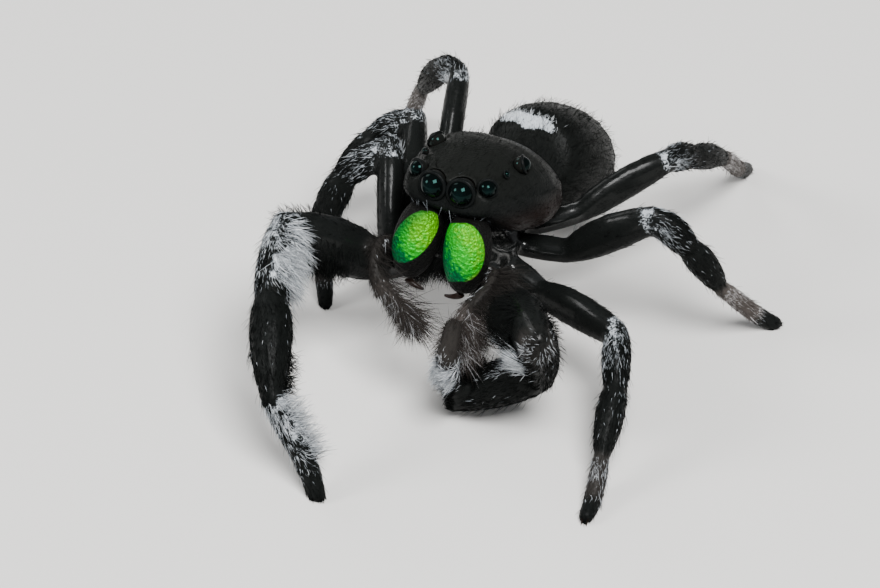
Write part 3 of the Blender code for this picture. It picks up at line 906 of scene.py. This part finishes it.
def leg_coat(ground, pair, side):
    """Short flat hair along the leg, a few bristles, and the long hairs of pair 1."""
    skin = ground.skin
    mine = (skin.leg == pair) & (skin.left == (side == "left"))
    part = np.clip(skin.part, FEMUR, TARSUS)
    front = pair == 1
    fans = FAN_PARTS[part] * front
    way = skin.way + skin.inwards * (2.2 * fans * ramp(skin.inner, -0.95, -0.4))[:, None]
    length = HAIR_LENGTHS[part] * (1.15 if front else 0.95)
    tone = (0.0, 0.7) if front else (0.0, 0.4)
    short, bristles = mine * HAIR_SHARES[part], mine * BRISTLE_SHARES[part]
    count, few = HAIR_COUNTS[pair], HAIR_COUNTS[pair] * 0.06
    tufts = [
        bed(ground, count, short, length, width=0.02, lift=HAIR_LIFTS[part], tone=tone, way=way),
        bed(ground, few, bristles, length * 1.6, width=0.014, lift=32, rings=3, white=-0.2, curl=0.5),
    ]
    if front:
        femur, tibia, metatarsus = (mine * (part == number) for number in (FEMUR, TIBIA, METATARSUS))
        tufts += [
            white_fans(ground, mine, part, side == "left"),
            knee_spikes(ground, femur),
            dark_beard(ground, femur, tibia, BEARD_COUNTS[side]),
            ankle_guard(ground, metatarsus),
        ]
    return coat_piece(f"coat_leg_{pair}_{side}", tufts)


def white_fans(ground, mine, part, folded):
    """Long white hairs that stand out inwards from the patella and the metatarsus."""
    skin = ground.skin
    low = np.where(part == PATELLA, -0.2 if folded else -0.95, -0.5)
    inner = ramp(skin.inner, low, np.maximum(low + 0.6, 0.1))
    weight = mine * FAN_PARTS[part] * inner * ramp(skin.pale, 0.2, 0.6)
    if folded:
        weight *= np.where(part == PATELLA, ramp(skin.along, 0.1, 0.3), 0.3)
    length = (FOLDED_FAN_LENGTHS if folded else FAN_LENGTHS)[part]
    rise = 14 + 42 * ramp(skin.inner, 0.2, 0.95)
    aim = skin.inwards + (0.45 if folded else 0.15) * skin.way
    lie = {"rings": 3, "tone": (0.1, 1.0), "way": aim, "splay": 16, "curl": 0.35}
    return bed(ground, 1900, weight, length, width=0.018, lift=rise, white=0.35, **lie)


def knee_spikes(ground, femur):
    """Short dark spikes on top of the femur's far end."""
    skin = ground.skin
    weight = femur * ramp(skin.along, 0.72, 0.85) * ramp(-skin.inner, 0.3, 0.8)
    return bed(ground, 150, weight, length=0.34, width=0.018, lift=60, rings=3, white=-1, splay=25, curl=0.4)


def dark_beard(ground, femur, tibia, count):
    """Long dark hairs under the far halves of the femur and of the tibia."""
    skin = ground.skin
    weight = femur * (ramp(skin.along, 0.35, 0.6) - ramp(skin.along, 0.85, 0.95)) * ramp(skin.inner, 0.3, 0.8)
    weight += tibia * ramp(skin.along, 0.5, 0.8) * ramp(skin.inner, 0.2, 0.7)
    lie = {"way": skin.inwards, "splay": 24, "curl": 0.4}
    return bed(ground, count, weight, length=0.5, width=0.02, lift=40, rings=3, white=-1, **lie)


def ankle_guard(ground, metatarsus):
    """A few pale hairs on the outer side of the ankle."""
    skin = ground.skin
    weight = metatarsus * (1 - ramp(skin.along, 0.3, 0.6)) * ramp(-skin.inner, 0.0, 0.5)
    lie = {"rings": 3, "tone": (0.1, 1.0), "splay": 18, "curl": 0.4}
    return bed(ground, 80, weight, length=0.34, width=0.014, lift=26, white=0.35, **lie)


def face_weight(skin):
    """The narrow face between the front eyes and the jaws."""
    across, _, high = head_place(skin.points).T
    low = ramp(-high, 0.35, 0.5) * ramp(-skin.normals[:, 1], 0.4, 0.8)
    return skin.named("carapace") * low * ramp(1.3 - np.abs(across), 0.0, 0.3)


def mouth_weight(skin):
    """The mouthparts, behind and below the jaws."""
    across, back, up = (skin.points - np.array(centre("chelicera_left") + centre("chelicera_right")) / 2).T
    low = ramp(-0.6 - up, 0.0, 0.3) * ramp(0.9 - back, 0.0, 0.3)
    return skin.named("underside") * low * ramp(1.1 - np.abs(across), 0.0, 0.3)


def head_coat(ground):
    """Short flat hair, a few bristles on top, and some pale hairs that hang down the face."""
    skin = ground.skin
    head, face = skin.named("carapace"), face_weight(skin)
    top = head * ramp(skin.normals[:, 2], 0.0, 0.5)
    lie = {"way": skin.everywhere(HANGING), "splay": 20}
    tufts = [
        bed(ground, 11000, head, length=0.14, width=0.018, lift=11, white=0.004),
        bed(ground, 260, top, length=0.3, width=0.014, lift=45, rings=3, curl=0.5),
        bed(ground, 130, face, length=0.38, width=0.011, lift=16, rings=3, tone=(0.0, 0.2), white=0.3, **lie),
    ]
    return coat_piece("coat_carapace", tufts)


def abdomen_coat(ground):
    """Short hair, with dark bristles that stand out of it."""
    abdomen = ground.skin.named("abdomen")
    tufts = [
        bed(ground, 15500, abdomen, length=0.18, width=0.02, lift=10, tone=(0.8, 1.0), splay=24),
        bed(ground, 1200, abdomen, length=0.36, width=0.014, lift=38, rings=3, white=-1, splay=24, curl=0.5),
    ]
    return coat_piece("coat_abdomen", tufts)


def underside_coat(ground):
    """Thin flat hair, and a dark fringe on the mouthparts."""
    skin = ground.skin
    mouth, lie = mouth_weight(skin), {"way": skin.everywhere(HANGING), "splay": 24, "curl": 0.3}
    fringe = bed(ground, 1500, mouth, length=0.55, width=0.018, lift=40, rings=3, white=-1, **lie)
    flat = bed(ground, 1200, skin.named("underside"), length=0.15, width=0.016, lift=12)
    return coat_piece("coat_underside", [flat, fringe])


def feeler_coat(ground, side):
    """Hair that grows longer towards the tip, and long hairs on the side to the spider's left."""
    skin = ground.skin
    feeler = skin.named(f"palp_{side}")
    tip, arm = centre(f"palp_{side}_tip"), centre(f"palp_{side}_arm")
    far = ramp((skin.points - np.array(tip)) @ np.array((tip - arm).normalized()), -0.2, 0.5)
    outer = feeler * ramp(skin.normals[:, 0], 0.0, 0.5) * (0.2 + far)
    many, white = (2200, 0.0) if side == "left" else (300, -1.0)
    lie = {"way": skin.everywhere((0.7, 0.1, -0.7)), "splay": 26, "curl": 0.4}
    longer = 0.3 + 0.42 * far
    tufts = [
        bed(ground, 2600, feeler, length=0.15 + 0.04 * far, width=0.018, lift=13, tone=(0.3, 0.9)),
        bed(ground, 1500, feeler * (0.12 + far), length=longer, width=0.015, lift=22, rings=3, splay=24),
        bed(ground, many, outer, length=0.95, width=0.018, lift=35, rings=3, white=white, **lie),
    ]
    return coat_piece(f"coat_palp_{side}", tufts)


# ---------------- eyes, jaws, fangs and claws

# Radius of each lens, and the way it looks: degrees outwards and up.
EYES = {
    "front_middle": (0.38, 4, 0),
    "front_side": (0.26, 28, 6),
    "small": (0.1, 78, 28),
    "rear": (0.24, 112, 18),
}
# Right and up as the camera sees the spider. The green patches keep their outline in this view, and round
# them the jaws are black for dark hair and painted shade.
VIEW_RIGHT, VIEW_UP = (0.894, 0.448, 0.0), (-0.269, 0.537, 0.8)
GREEN_MIDDLES = {"left": (0.40, -1.71), "right": (-0.86, -1.3)}  # right and up from the middle of the eyes
GREEN_LEAN = (0.765, 0.644)  # cosine and sine of how far the right jaw's patch leans


def eye_place(eye, side):
    """Middle of a lens and the way it looks."""
    radius, outwards, up = EYES[eye]
    out, high = math.radians(outwards), math.radians(up)
    sign = 1 if side == "left" else -1
    aim = Vector((sign * math.sin(out) * math.cos(high), -math.cos(out) * math.cos(high), math.sin(high)))
    aim = HEAD.to_3x3() @ aim
    return centre(f"eye_{eye}_{side}") - aim * 0.075 * radius, aim


def lens(eye, side):
    """A glossy ball whose front bulges a little."""
    radius = EYES[eye][0]
    middle, aim = eye_place(eye, side)
    clear_choice()
    bpy.ops.mesh.primitive_uv_sphere_add(
        segments=40, ring_count=24, radius=radius, location=middle, rotation=turned_to(aim)
    )
    ball = settle(f"lens_{eye}_{side}")
    points = numbers(ball.data.vertices, "co", 3)
    off_axis = np.arccos(np.clip((points - np.array(middle)) @ np.array(aim) / radius, -1, 1))
    points += np.array(aim) * (0.06 * radius * (1 - ramp(off_axis, 0.2, 1.2)))[:, None]
    set_points(ball.data, points)
    give(ball.data, "rim", np.clip(off_axis / (math.pi / 2), 0, 1))
    return to_metres(ball, EYE, "eye", f"eye_{eye}_{side}")


def collar(eye, side):
    """The dark rim of skin that grips a lens."""
    radius = EYES[eye][0]
    middle, aim = eye_place(eye, side)
    clear_choice()
    bpy.ops.mesh.primitive_torus_add(
        location=middle + aim * 0.3 * radius,
        rotation=turned_to(aim),
        major_radius=0.99 * radius,
        minor_radius=0.13 * radius + 0.01,
        major_segments=36,
        minor_segments=10,
    )
    return to_metres(settle(f"collar_{eye}_{side}"), SKIN, "black_cuticle")


def green_reach(points, side):
    """How far points lie from the middle of the jaw's green patch in the camera's view, 1 at its edge."""
    seen = points - np.array(EYES_MIDDLE)
    over, high = seen @ VIEW_RIGHT - GREEN_MIDDLES[side][0], seen @ VIEW_UP - GREEN_MIDDLES[side][1]
    if side == "left":
        # An upright egg that runs on to the inner edge of the jaw.
        return np.hypot(np.maximum(over, 0) / 0.56, high / 0.78)
    wide = GREEN_LEAN[0] * over - GREEN_LEAN[1] * high
    long = GREEN_LEAN[1] * over + GREEN_LEAN[0] * high
    return np.hypot(long / 0.83, wide / np.where(wide > 0, 0.4, 0.54))


def blend(rel, way, low, high):
    """0 to 1 across a jaw, from low to high along a way through its middle."""
    return ramp(rel @ unit(np.array([way]))[0], low, high)


def jaw(side):
    """An egg of green scales that bulges forwards, black at its foot and edges for dark hair and painted
    shade.
    """
    left = side == "left"
    obj = node_copy(f"chelicera_{side}", f"jaw_{side}")
    modify(obj, "SUBSURF", levels=3, render_levels=3)
    points = numbers(obj.data.vertices, "co", 3)
    middle = points.mean(axis=0)
    # The copy is rounded off by its subdivision, so it is drawn out to the solid again.
    points = middle + (points - middle) * 1.05
    behind = np.maximum(points[:, 1] - middle[1] - 0.15, 0)
    points[:, 1] += 0.5 * behind * ramp(points[:, 2] - middle[2], -0.9, -0.4)
    set_points(obj.data, points)
    rel = head_way(points - middle)
    front = -head_way(numbers(obj.data.vertices, "normal", 3))[:, 1]
    # Green only on the front and within the patch; elsewhere black, for dark hair and painted shade.
    shown = ramp(front, -0.3, 0.15) * (1 - ramp(green_reach(points, side), 0.85, 1.12))
    give(obj.data, "shown", shown)
    # Lime and amber are painted iridescent sheen from light on the right.
    give(obj.data, "lime", blend(rel, (0.75, 0.0, 0.7), -0.5, 0.85) * (0.85 if left else 1.0))
    give(obj.data, "amber", blend(rel, (0.9, 0.0, -0.75), 0.4, 0.65) * (0.8 if left else 0.0))
    # Painted shade on the upper left, strong on the right jaw.
    give(obj.data, "shade", blend(rel, (-0.7, 0.0, 0.7), 0.05, 0.75) * (0.25 if left else 0.85))
    return to_metres(obj, JAW, "green_chelicera", f"chelicera_{side}")


def fang(side):
    obj = node_copy(f"fang_{side}", f"fang_horn_{side}")
    modify(obj, "SUBSURF", levels=2, render_levels=2)
    return to_metres(obj, FANG, "black_cuticle", f"fang_{side}")


def claws(pair, side):
    """Two small claws at the end of a foot, which point down and ahead."""
    toe, tip = LEGS[pair, side][-2:]
    ahead = (tip - toe).normalized()
    across = ahead.cross(Vector((0, 0, 1))).normalized()
    turn = turned_to(ahead - Vector((0, 0, 0.5)))
    pieces = []
    for sign in (-1, 1):
        clear_choice()
        place = tip + ahead * 0.11 + across * (0.07 * sign)
        bpy.ops.mesh.primitive_cone_add(
            vertices=10, radius1=0.034, radius2=0.004, depth=0.2, location=place, rotation=turn
        )
        pieces.append(bpy.context.object)
    choose(*pieces)
    bpy.ops.object.join()
    obj = settle(f"claws_{pair}_{side}")
    points = numbers(obj.data.vertices, "co", 3)
    points[:, 2] = np.maximum(points[:, 2], CLAW_FLOOR)
    set_points(obj.data, points)
    return to_metres(obj, FANG, "black_cuticle")


# ---------------- the spider

SKIN, COAT, JAW, EYE, FANG = skin_finish(), coat_finish(), jaw_finish(), eye_finish(), fang_finish()

skin_piece = draw_skin()
skin = Skin(skin_piece)
sink_skin(skin)
mark(skin)
unwrap(skin_piece)
ground = Ground(skin)
for key in MARKS:
    give(skin.mesh, key, getattr(skin, key))
head_coat(ground)
abdomen_coat(ground)
underside_coat(ground)
for side in SIDES:
    feeler_coat(ground, side)
for pair in PAIRS:
    for side in SIDES:
        leg_coat(ground, pair, side)
        claws(pair, side)
for eye in EYES:
    for side in SIDES:
        lens(eye, side)
        collar(eye, side)
for side in SIDES:
    jaw(side)
    fang(side)
to_metres(skin_piece, SKIN, "black_coat", *FLESH)


# ---------------- floor, lights and camera

FLOOR_WIDTH = 2.0  # in metres
FLOOR_COLOUR = (0.62, 0.61, 0.59, 1.0)
SKY, SKY_STRENGTH = (0.85, 0.88, 0.92, 1), 0.3
LIT_PLACE = (0, 0, 0.003)  # where the lights look, in metres
# Place and width in metres, and power in watts.
LIGHTS = {
    "key": ((0.09, -0.09, 0.21), 0.11, 1.5),
    "fill": ((-0.18, -0.12, 0.14), 0.08, 0.45),
    "back": ((-0.20, 0.10, 0.16), 0.12, 0.2),
}
CAMERA_TURN, CAMERA_RISE, CAMERA_ROLL = (math.radians(angle) for angle in (26.59, 36.91, -0.56))
CAMERA_DISTANCE = 150
AIM_LEFT, AIM_DOWN = 0.21, 2.815  # from the middle of the eyes to the middle of the view
VIEW_WIDTH = 23.4  # what the view takes in at that place
SENSOR_WIDTH = 36


def lay_floor():
    clear_choice()
    bpy.ops.mesh.primitive_plane_add(size=FLOOR_WIDTH, location=(0, 0, 0))
    floor = bpy.context.object
    floor.name = "floor"
    floor.data.materials.append(Finish("floor_pale", Base_Color=FLOOR_COLOUR, Roughness=0.9).material)


def set_lights():
    """A dim sky, and soft square lamps that look at the spider."""
    world = bpy.data.worlds.new("studio")
    bpy.context.scene.world = world
    world.use_nodes = True
    sky = world.node_tree.nodes["Background"].inputs
    sky["Color"].default_value = SKY
    sky["Strength"].default_value = SKY_STRENGTH
    for name, (place, width, power) in LIGHTS.items():
        lamp = bpy.data.lights.new(name, "AREA")
        lamp.size = width
        lamp.energy = power
        obj = place_in_scene(name, lamp)
        obj.location = place
        obj.rotation_euler = turned_to(Vector(place) - Vector(LIT_PLACE))


def set_camera():
    """Looks down on the face from its left."""
    turn, rise, roll = CAMERA_TURN, CAMERA_RISE, CAMERA_ROLL
    back = Vector((math.sin(turn) * math.cos(rise), -math.cos(turn) * math.cos(rise), math.sin(rise)))
    level = Vector((math.cos(turn), math.sin(turn), 0))
    upward = back.cross(level)
    right = level * math.cos(roll) + upward * math.sin(roll)
    up = upward * math.cos(roll) - level * math.sin(roll)
    place = EYES_MIDDLE + back * CAMERA_DISTANCE
    target = EYES_MIDDLE - right * AIM_LEFT - up * AIM_DOWN
    away = (place - target).normalized()
    side = (right - away * right.dot(away)).normalized()
    camera = place_in_scene("camera", bpy.data.cameras.new("camera"))
    axes = Matrix((side, away.cross(side), away)).transposed()
    camera.matrix_world = Matrix.Translation(place * MM) @ axes.to_4x4()
    camera.data.sensor_width = SENSOR_WIDTH
    camera.data.lens = SENSOR_WIDTH * (place - target).length / VIEW_WIDTH
    camera.data.clip_start = 0.001
    bpy.context.scene.camera = camera


lay_floor()
set_lights()
set_camera()
